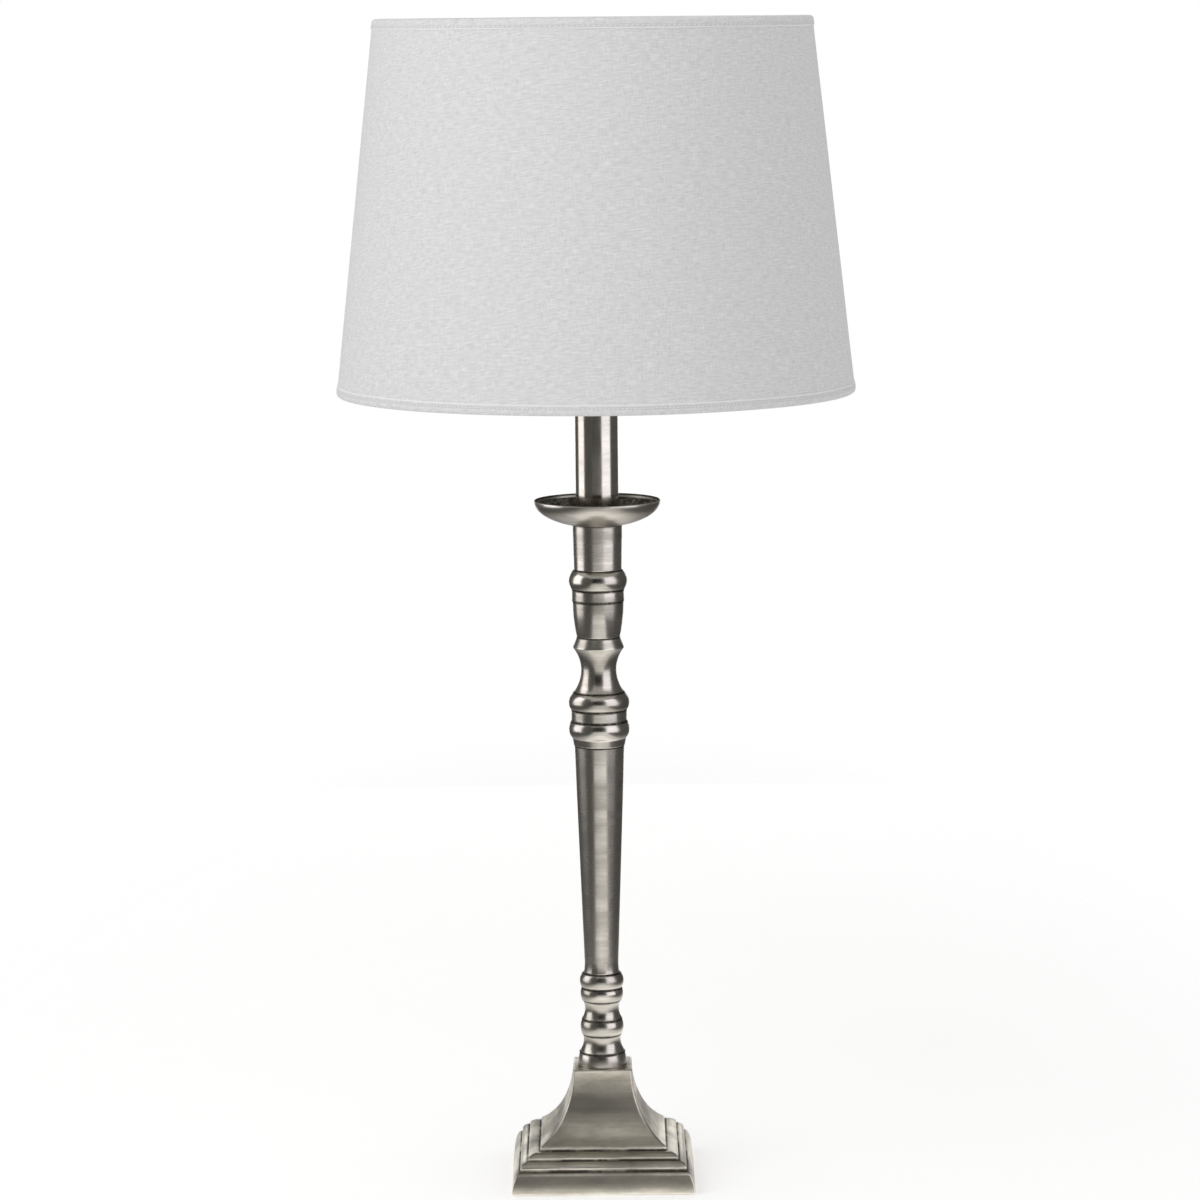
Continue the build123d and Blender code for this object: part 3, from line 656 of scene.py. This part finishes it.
def baseBlock(size):
    bm = cutSection("base_casting")
    thinOut(bm, size["crowd"])
    grooves, edges = sortCorners(bm, joints=False)
    closeBore(bm, size["recess"])
    softenCorners(bm, size["soften"])
    refine(bm, size["ring"])
    cornerOut = Matrix.Rotation(math.radians(45), 4, "Z") @ Matrix.Scale(math.sqrt(2), 4, (1, 0, 0))
    bmesh.ops.transform(bm, matrix=cornerOut, verts=bm.verts[:])
    spinOutline(bm, 4, doublings=2)
    mitres = [edge for edge in bm.edges if onMitre(edge, size)]
    bmesh.ops.bevel(bm, geom=mitres, offset=size["mitre"], offset_type="OFFSET", affect="EDGES",
                    segments=size["mitreSegments"], profile=0.5, material=-1, clamp_overlap=True)
    runs = [edge for edge in bm.edges if alongSide(edge, size)]
    bmesh.ops.subdivide_edges(bm, edges=runs, cuts=size["columns"], use_grid_fill=True)
    dentFaces(bm, size)
    bm = drilled(bm, *baseHoles(size))
    piece = addPiece("baseCasting", bm, "stand", castNickel, ["base_casting"])
    markCorners(piece.data, "groove", grooves, size["grooveReach"], squareWidth)
    markCorners(piece.data, "edge", edges, size["edgeReach"], squareWidth)
    markMitres(piece.data, size["edgeReach"])
    evenNormals(piece)


baseBlock(baseSize)
print("base made")


# Stem: turned pieces stacked on the rod, a spun pan and a plain tube, each with its own rounded edges
stemSize = {"crowd": 0.12 * mm, "soften": 0.35 * mm, "ring": 0.6 * mm, "steps": 128, "grooveReach": 1.2 * mm,
            "edgeReach": 0.7 * mm}
lowerSize = {**stemSize, "batter": 1.05 * mm, "batterFrom": 5 * mm, "batterOutside": 10 * mm,
             "batterCuts": 7, "shoulder": 2.2, "leanMost": 0.1}
panSize = {**stemSize, "soften": 0.3 * mm, "ring": 0.8 * mm, "steps": 160, "grooveReach": 0.8 * mm,
           "unshadedRim": 1.2 * mm, "bowlSlope": 0.2, "bowlShade": 0.8}
tubeSize = {**stemSize, "ring": 2.0 * mm}
stemPieces = [("lowerBaluster", "lower_baluster", lowerSize), ("taperedColumn", "tapered_column", stemSize),
              ("upperBaluster", "upper_baluster", stemSize), ("candleCup", "candle_cup", stemSize),
              ("neckSleeve", "neck_sleeve", stemSize)]


def dripPan(size):
    pan = turnedPiece("dripPan", "drip_pan", "stand", spunNickel, size)
    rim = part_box("drip_pan")[1].z
    for vert in pan.data.vertices:
        # the bowl below a band at the rim is darkened, partly as dirt and partly as painted shade
        if vert.normal.z > size["bowlSlope"] and vert.co.z < rim - size["unshadedRim"]:
            pan.data.attributes["groove"].data[vert.index].value = size["bowlShade"]


for name, node, size in stemPieces:
    turnedPiece(name, node, "stand", turnedNickel, size)
dripPan(panSize)
turnedPiece("candleTube", "candle_tube", "stand", sheetNickel, tubeSize)
print("stem made")


# Lampholder: moulded cap, threaded sleeve and scalloped shade ring
capSize = {"crowd": 0.12 * mm, "soften": 0.6 * mm, "ring": 1.5 * mm, "steps": 96, "screwRoom": 0.05 * mm,
           "cutter": 30 * mm}
sleeveSize = {"crowd": 0.12 * mm, "soften": 0.3 * mm, "ring": 2.0 * mm, "steps": 96, "thread": 0.5 * mm,
              "ridge": 1.15, "ridgeSides": 8, "pitch": 1.7 * mm, "doublings": 4, "runOut": 1.5 * mm}
ringSize = {"crowd": 0.12 * mm, "soften": 0.5 * mm, "ring": 0.8 * mm, "steps": 200, "grips": 10,
            "gripDepth": 0.9 * mm, "gripFrom": 0.85, "betweenGrips": math.radians(18)}


def plasticPiece(name, bm, body, nodes=(), smoothAngle=40):
    return addPiece(name, bm, body, finishes["blackPlastic"], nodes, smoothAngle)


def holderCap(size):
    screwLow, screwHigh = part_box("cap_lock_screw")
    screwRadius = (screwHigh.x - screwLow.x) / 2 + size["screwRoom"]
    screwStart = Matrix.Translation((0, 0, (screwLow.z + screwHigh.z) / 2))
    bm = drilled(turnedShape("holder_cap", size), rod(screwRadius, size["cutter"], screwStart @ towardsBack))
    evenNormals(plasticPiece("holderCap", bm, "stand", ["holder_cap"]))


def holderSleeve(size):
    # turned down to the root of its thread
    bm = turnedShape("holder_sleeve", size)
    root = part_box("holder_sleeve")[1].x - size["thread"]
    for vert in bm.verts:
        if roundWidth(vert.co) > root:
            vert.co.xy *= root / roundWidth(vert.co)
    evenNormals(plasticPiece("holderSleeve", bm, "stand", ["holder_sleeve"]))


def sleeveThread(size):
    # one turn of the ridge, doubled upwards
    ridge = bmesh.new()
    radius = size["thread"] * size["ridge"]
    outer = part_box("holder_sleeve")[1].x
    start = Matrix.Translation((outer - radius, 0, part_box("holder_cap")[1].z + size["runOut"]))
    bmesh.ops.create_circle(ridge, segments=size["ridgeSides"], radius=radius,
                            matrix=start @ Matrix.Rotation(quarterTurn, 4, "X"))
    bmesh.ops.spin(ridge, geom=everything(ridge), cent=(0, 0, 0), axis=axisUp, angle=math.tau,
                   dvec=(0, 0, size["pitch"] / size["steps"]), steps=size["steps"])
    for doubling in range(size["doublings"]):
        copyMoved(ridge, Matrix.Translation((0, 0, size["pitch"] * 2 ** doubling)))
    bmesh.ops.remove_doubles(ridge, verts=ridge.verts[:], dist=weld)
    bmesh.ops.holes_fill(ridge, edges=[e for e in ridge.edges if e.is_boundary])
    bmesh.ops.recalc_face_normals(ridge, faces=ridge.faces[:])
    plasticPiece("sleeveThread", ridge, "stand", smoothAngle=60)


def shadeRing(size):
    bm = turnedShape("shade_ring", size, size["betweenGrips"])
    outer = max(v.co.x for v in bm.verts)
    for vert in bm.verts:
        share = max(0.0, (roundWidth(vert.co) / outer - size["gripFrom"]) / (1 - size["gripFrom"]))
        wave = 0.5 + 0.5 * math.cos(size["grips"] * math.atan2(vert.co.y, vert.co.x))
        vert.co.xy *= 1 - share * wave ** 2 * size["gripDepth"] / outer
    evenNormals(plasticPiece("shadeRing", bm, "shade_ring", ["shade_ring"]))


holderCap(capSize)
holderSleeve(sleeveSize)
sleeveThread(sleeveSize)
shadeRing(ringSize)
print("lampholder made")


# Light bulb: blown globe
globeSize = {"crowd": 0.05 * mm, "soften": 0.2 * mm, "ring": 2.0 * mm, "steps": 96}
turnedPiece("bulbGlobe", "bulb_globe", "bulb", finishes["opalGlass"], globeSize)
print("bulb made")


# Shade: linen over a film, hems round the hoops, a lap seam behind and a row of stitches at each edge
shadeSize = {"crowd": 0.05 * mm, "soften": 0.12 * mm, "ring": 4.0 * mm, "steps": 240, "outerFace": -0.1 * mm,
             "slack": 0.12 * mm, "slackSize": 45 * mm, "grain": math.radians(-36), "seam": math.radians(90),
             "cut": (0.924, 0.285), "cutArea": 0.1876}
lapSize = {"width": 11 * mm, "steps": 12, "thickness": 0.4 * mm, "out": 0.25 * mm, "lift": 0.35 * mm,
           "creaseShade": 1.3 * mm, "fromHem": 0.3 * mm}
topHemSize = {"crowd": 0.05 * mm, "soften": 0.9 * mm, "ring": 0.9 * mm, "steps": 360, "outerFace": 0.5 * mm,
              "pucker": 0.14 * mm, "puckerSize": 9 * mm, "edgeWave": 0.3 * mm, "edgeWaveSize": 70 * mm,
              "creaseShadeReach": 0.9 * mm, "foldHighlightReach": 0.7 * mm}
bottomHemSize = {**topHemSize, "edgeWave": 0.09 * mm}
topStitchSize = {"pitch": 3.0 * mm, "fromEdge": 4.4 * mm, "length": 1.2 * mm, "width": 0.30 * mm,
                 "height": 0.2 * mm, "slant": math.radians(7)}
bottomStitchSize = {**topStitchSize, "pitch": 2.4 * mm, "fromEdge": 3.8 * mm, "length": 0.95 * mm}


def wallLine():
    # foot of the linen's outer face, the way up along it and the way out from it, as seen in its section
    leanIn = 3      # at the top height counts for more than width, because the wall leans in
    bm = cutSection("shade_linen")
    foot = max((v.co for v in bm.verts), key=lambda point: point.x - point.z).copy()
    top = max((v.co for v in bm.verts), key=lambda point: point.x + leanIn * point.z).copy()
    bm.free()
    up = (top - foot).normalized()
    return {"foot": foot, "up": up, "out": Vector((up.z, 0, -up.x)), "length": (top - foot).length}


wall = wallLine()


def outFromWall(point):
    return (Vector((roundWidth(point), 0, point.z)) - wall["foot"]).dot(wall["out"])


def radialAt(point):
    return Vector((point.x, point.y, 0)).normalized()


def clothMap(mesh):
    # the cone laid out flat, in metres, with the straight grain at one azimuth
    seam = shadeSize["seam"]
    grain = (shadeSize["grain"] - seam) % math.tau
    sine = -wall["up"].x
    apex = wall["foot"].z + wall["foot"].x / sine * wall["up"].z
    layer = mesh.uv_layers.new(name="cloth")
    for polygon in mesh.polygons:
        middle = (math.atan2(polygon.center.y, polygon.center.x) - seam) % math.tau
        for index in polygon.loop_indices:
            point = mesh.vertices[mesh.loops[index].vertex_index].co
            turn = math.atan2(point.y, point.x) - seam
            turn += math.tau * round((middle - turn) / math.tau)
            spread = (turn - grain) * sine
            reach = (apex - point.z) / wall["up"].z
            layer.data[index].uv = (reach * math.sin(spread), apex - reach * math.cos(spread))


def shadeFilm(size):
    bm = turnedShape("shade_liner", size)
    evenNormals(addPiece("shadeLiner", bm, "shade", finishes["linerFilm"], ["shade_liner"]))


def shadeCloth(size):
    bm = turnedShape("shade_linen", size)
    for vert in bm.verts:
        if outFromWall(vert.co) > size["outerFace"]:
            vert.co += radialAt(vert.co) * size["slack"] * (1 + noise.noise(vert.co / size["slackSize"]))
    cloth = addPiece("shadeLinen", bm, "shade", shadeLinen, ["shade_linen"])
    clothMap(cloth.data)
    evenNormals(cloth)
    return cloth


def lapSeam(size, clear):
    # the overlapped edge of the cloth, between the hems: its free edge is creased, darkened there as painted
    # shade, and stands up a little
    bm = bmesh.new()
    bmesh.ops.create_vert(bm, co=wall["foot"] + wall["up"] * clear + wall["out"] * size["out"])
    rise = bmesh.ops.extrude_vert_indiv(bm, verts=bm.verts[:])["verts"]
    bmesh.ops.translate(bm, verts=rise, vec=wall["up"] * (wall["length"] - 2 * clear))
    refine(bm, shadeSize["ring"])
    spread = size["width"] / wall["foot"].x
    toSeam = Matrix.Rotation(shadeSize["seam"], 3, "Z")
    bmesh.ops.rotate(bm, verts=bm.verts[:], cent=(0, 0, 0), matrix=toSeam)
    bmesh.ops.spin(bm, geom=bm.verts[:] + bm.edges[:], cent=(0, 0, 0), axis=axisUp, dvec=(0, 0, 0),
                   angle=spread, steps=size["steps"])
    bmesh.ops.recalc_face_normals(bm, faces=bm.faces[:])
    bmesh.ops.solidify(bm, geom=bm.faces[:], thickness=size["thickness"])
    lap = addPiece("lapSeam", bm, "shade", shadeLinen)
    creaseShade = lap.data.attributes.new("groove", "FLOAT", "POINT").data
    for vert in lap.data.vertices:
        turn = math.atan2(vert.co.y, vert.co.x) - shadeSize["seam"]
        creaseShade[vert.index].value = max(0.0, 1.0 - turn * roundWidth(vert.co) / size["creaseShade"])
        vert.co.xy *= 1.0 + size["lift"] * (1.0 - turn / spread) / roundWidth(vert.co)
    clothMap(lap.data)
    return lap


def hemFold(name, node, size, seamPoint, foldPoint):
    bm = turnedShape(node, size)
    for vert in bm.verts:
        radial = radialAt(vert.co)
        if outFromWall(vert.co) > size["outerFace"]:
            vert.co += radial * size["pucker"] * noise.noise(vert.co / size["puckerSize"])
        vert.co.z += size["edgeWave"] * noise.noise(radial * wall["foot"].x / size["edgeWaveSize"])
    fold = addPiece(name, bm, "shade", hemLinen, [node])
    # painted shade along the stitch row
    markCorners(fold.data, "groove", [(seamPoint.x, seamPoint.z)], size["creaseShadeReach"], roundWidth)
    # a painted highlight along the hem's fold line
    markCorners(fold.data, "edge", [(foldPoint.x, foldPoint.z)], size["foldHighlightReach"], roundWidth)
    clothMap(fold.data)
    evenNormals(fold)
    return fold


def stitchRow(name, start, size):
    bm = bmesh.new()
    count = round(math.tau * start.x / size["pitch"])
    lean = Matrix.Rotation(math.atan2(wall["up"].x, wall["up"].z), 4, "Y")
    slant = Matrix.Rotation(size["slant"], 4, "X")
    shape = Matrix.Diagonal((size["height"], size["length"], size["width"], 1))
    bmesh.ops.create_uvsphere(bm, u_segments=6, v_segments=4, radius=1.0,
                              matrix=Matrix.Translation(start) @ lean @ slant @ shape)
    bmesh.ops.spin(bm, geom=everything(bm), cent=(0, 0, 0), axis=axisUp, dvec=(0, 0, 0),
                   angle=math.tau * (count - 1) / count, steps=count - 1, use_duplicate=True)
    return addPiece(name, bm, "shade", finishes["sewingThread"], smoothAngle=80)


def hemReach(node):
    # how far a hem stands out from the linen, and its edges along the wall
    bm = cutSection(node)
    out = max((v.co - wall["foot"]).dot(wall["out"]) for v in bm.verts)
    along = [(v.co - wall["foot"]).dot(wall["up"]) for v in bm.verts]
    bm.free()
    return out, min(along), max(along)


shadeFilm(shadeSize)
linen = shadeCloth(shadeSize)
bottomOut, bottomEdge, bottomInner = hemReach("bottom_hem")
topOut, topInner, topEdge = hemReach("top_hem")
lap = lapSeam(lapSize, bottomInner + lapSize["fromHem"])
bottomFace = wall["foot"] + wall["out"] * bottomOut
topFace = wall["foot"] + wall["out"] * topOut
bottomStitch = bottomFace + wall["up"] * (bottomEdge + bottomStitchSize["fromEdge"])
topStitch = topFace + wall["up"] * (topEdge - topStitchSize["fromEdge"])
bottomFoldLine = bottomFace + wall["up"] * bottomInner
topFoldLine = topFace + wall["up"] * topInner
bottomFold = hemFold("bottomHem", "bottom_hem", bottomHemSize, bottomStitch, bottomFoldLine)
topFold = hemFold("topHem", "top_hem", topHemSize, topStitch, topFoldLine)
bottomRow = stitchRow("bottomStitches", bottomStitch, bottomStitchSize)
topRow = stitchRow("topStitches", topStitch, topStitchSize)
print("shade made")


# Parts of the frame that stay as they are take the same finishes
slotFinish = {
    "iron_ballast": "castIron", "felt": "baseFelt", "black_plastic": "blackPlastic",
    "zinc_steel": "zincSteel", "porcelain": "porcelain", "brass": "sheetBrass", "bulb_metal": "bulbMetal",
    "bulb_black_glass": "fusedGlass", "white_wire": "powderWhite",
}
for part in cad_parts.values():
    for holder in part.material_slots:
        if holder.material.name in slotFinish:
            holder.material = finishes[slotFinish[holder.material.name]]
print("frame parts finished")


# Stage: pale floor, soft boxes for the metal and one for the cloth, a dark card that only the metal mirrors,
# and a white surround
# The floor's ranges are written as the finishes' are
floorLook = {
    "width": 12.0, "rough": 0.85, "grain": 60.0, "dark": (0.84, 0.84, 0.84, 1),
    "light": (0.88, 0.88, 0.88, 1), "glowColor": (1, 1, 1, 1), "glow": 0.14, "glowSeen": 0.17,
    "oval": (1.9, 0.62, 1.0), "fadeRange": (0.45, 1.0, 1.0, 0.0),
    "nearRange": (0.15, 0.80, 0.74, 0.02), "stripMiddle": 0.05, "stripSpread": math.radians(19),
    "stripEdge": (0.18, 0.24, 1.0, 0.0), "stripRange": (0.24, 0.36, 1.1, 0.70),
    "stripSides": (-0.6, 0.6, 0.75, 1.25),
}
cardLook = {"width": 1.1, "height": 1.5, "away": 1.35, "middle": 0.955, "rough": 1.0,
            "color": (0.012, 0.012, 0.012, 1)}
boxLooks = {
    "rightBox": {"azimuth": 52, "away": 1.4, "middle": 0.92, "aim": 0.92, "size": (1.3, 1.8),
                 "radiance": 1.42, "tint": (1.0, 0.99, 1.08), "mirrored": True},
    "leftBox": {"azimuth": -92, "away": 1.4, "middle": 0.92, "aim": 0.92, "size": (1.05, 1.8),
                "radiance": 1.55, "tint": (1.0, 0.99, 1.03), "mirrored": True},
    "topBox": {"azimuth": 0, "away": 0.95, "middle": 1.55, "aim": 0.1, "size": (1.6, 0.9),
               "radiance": 0.38, "tint": (1, 1, 1), "mirrored": True},
    "backCard": {"azimuth": 180, "away": 1.3, "middle": 0.22, "aim": 0.22, "size": (1.0, 0.44),
                 "radiance": 1.5, "tint": (1, 1, 1), "mirrored": True},
    "keyBox": {"azimuth": -45, "away": 1.5, "middle": 1.4, "aim": 0.5, "size": (1.5, 1.5),
               "radiance": 1.25, "tint": (1, 1, 1), "mirrored": False},
}
airLook = {"mirrored": {"Color": (1.0, 0.99, 0.975, 1), "Strength": 0.10},
           "fill": {"Color": (1.0, 0.995, 0.985, 1), "Strength": 0.71},
           "seen": {"Color": (1, 1, 1, 1), "Strength": 1.0}}
viewPoint = {"lens": 131.63, "sensor": 36.0, "eye": (0.00113, -2.5287, 0.6848),
             "aim": (0.00113, 0.0, 0.3418), "roll": math.radians(-0.55)}


def floorMaterial(look):
    material, tree, shader = newMaterial("paleFloor", {
        "Roughness": look["rough"], "Emission Color": look["glowColor"],
    })
    point = objectPoint(tree)
    split = addNode(tree, "ShaderNodeSeparateXYZ", {0: point}).outputs
    rays = addNode(tree, "ShaderNodeLightPath").outputs
    grain = useGroup(tree, speckle, {"Vector": point, "Scale": look["grain"]})
    tone = mixColor(tree, grain["Tone"], look["dark"], look["light"])
    tone = mixColor(tree, rays["Is Glossy Ray"], tone, (0, 0, 0, 1))
    tree.links.new(tone, shader.inputs["Base Color"])
    oval = stretch(tree, point, look["oval"])
    away = addNode(tree, "ShaderNodeVectorMath", {0: oval}, operation="LENGTH").outputs["Value"]
    # in the metal the floor is bright on a strip towards the camera, wider there and brighter on the right
    aside = calc(tree, "ABSOLUTE", calc(tree, "SUBTRACT", split[0], look["stripMiddle"]))
    aside = calc(tree, "MULTIPLY_ADD", split[1], math.tan(look["stripSpread"]), aside)
    onStrip = remap(tree, aside, *look["stripEdge"])
    strip = calc(tree, "MULTIPLY", remap(tree, away, *look["stripRange"]),
                 remap(tree, split[0], *look["stripSides"]))
    mirrored = mixValue(tree, onStrip, remap(tree, away, *look["nearRange"]), strip)
    glow = calc(tree, "MULTIPLY_ADD", rays["Is Camera Ray"], look["glowSeen"], look["glow"])
    glow = calc(tree, "MULTIPLY_ADD", rays["Is Glossy Ray"], mirrored, glow)
    tree.links.new(glow, shader.inputs["Emission Strength"])
    kept = calc(tree, "MULTIPLY", rays["Is Glossy Ray"], onStrip)
    shown = calc(tree, "MAXIMUM", remap(tree, away, *look["fadeRange"]), kept)
    tree.links.new(shown, shader.inputs["Alpha"])
    return material


def stagePanel(name, width, height, place, material):
    bm = bmesh.new()
    bmesh.ops.create_grid(bm, x_segments=1, y_segments=1, size=0.5,
                          matrix=place @ Matrix.Diagonal((width, height, 1, 1)))
    mesh = bpy.data.meshes.new(name)
    bm.to_mesh(mesh)
    bm.free()
    mesh.materials.append(material)
    panel = bpy.data.objects.new(name, mesh)
    scene.collection.objects.link(panel)
    return panel


def darkCard(look):
    material = newMaterial("darkCard", {"Roughness": look["rough"], "Base Color": look["color"]})[0]
    place = Matrix.Translation((0, -look["away"], look["middle"])) @ Matrix.Rotation(quarterTurn, 4, "X")
    card = stagePanel("darkCard", look["width"], look["height"], place, material)
    card.visible_camera = False
    card.visible_diffuse = False
    card.visible_shadow = False


def softBox(name, look):
    # azimuth is in degrees from the camera's side, to the right
    light = bpy.data.lights.new(name, "AREA")
    light.shape = "RECTANGLE"
    width, height = look["size"]
    light.size = width
    light.size_y = height
    light.energy = look["radiance"] * math.pi * width * height
    light.color = look["tint"]
    box = bpy.data.objects.new(name, light)
    azimuth = math.radians(look["azimuth"])
    box.location = (look["away"] * math.sin(azimuth), -look["away"] * math.cos(azimuth), look["middle"])
    box.rotation_mode = "QUATERNION"
    box.rotation_quaternion = (Vector((0, 0, look["aim"])) - box.location).to_track_quat("-Z", "Y")
    box.visible_camera = False
    box.visible_diffuse = not look["mirrored"]
    box.visible_glossy = look["mirrored"]
    scene.collection.objects.link(box)


def mixShader(tree, factor, first, second):
    return addNode(tree, "ShaderNodeMixShader", {0: factor, 1: first, 2: second}).outputs[0]


def surround(look):
    world = bpy.data.worlds.new("surround")
    scene.world = world
    world.use_nodes = True
    tree = world.node_tree
    tree.nodes.clear()
    rays = addNode(tree, "ShaderNodeLightPath").outputs
    air = {use: addNode(tree, "ShaderNodeBackground", inputs).outputs[0] for use, inputs in look.items()}
    lit = mixShader(tree, rays["Is Glossy Ray"], air["fill"], air["mirrored"])
    addNode(tree, "ShaderNodeOutputWorld", {0: mixShader(tree, rays["Is Camera Ray"], lit, air["seen"])})


def photoView(view):
    lens = bpy.data.cameras.new("photoView")
    lens.lens = view["lens"]
    lens.sensor_width = view["sensor"]
    camera = bpy.data.objects.new("photoView", lens)
    camera.location = view["eye"]
    gaze = (Vector(view["aim"]) - Vector(view["eye"])).to_track_quat("-Z", "Y")
    camera.rotation_mode = "QUATERNION"
    camera.rotation_quaternion = gaze @ Quaternion(axisUp, view["roll"])
    scene.collection.objects.link(camera)
    scene.camera = camera


stagePanel("floor", floorLook["width"], floorLook["width"], Matrix(), floorMaterial(floorLook))
darkCard(cardLook)
for name, look in boxLooks.items():
    softBox(name, look)
surround(airLook)
photoView(viewPoint)
scene.view_settings.view_transform = "Standard"
print("stage made")
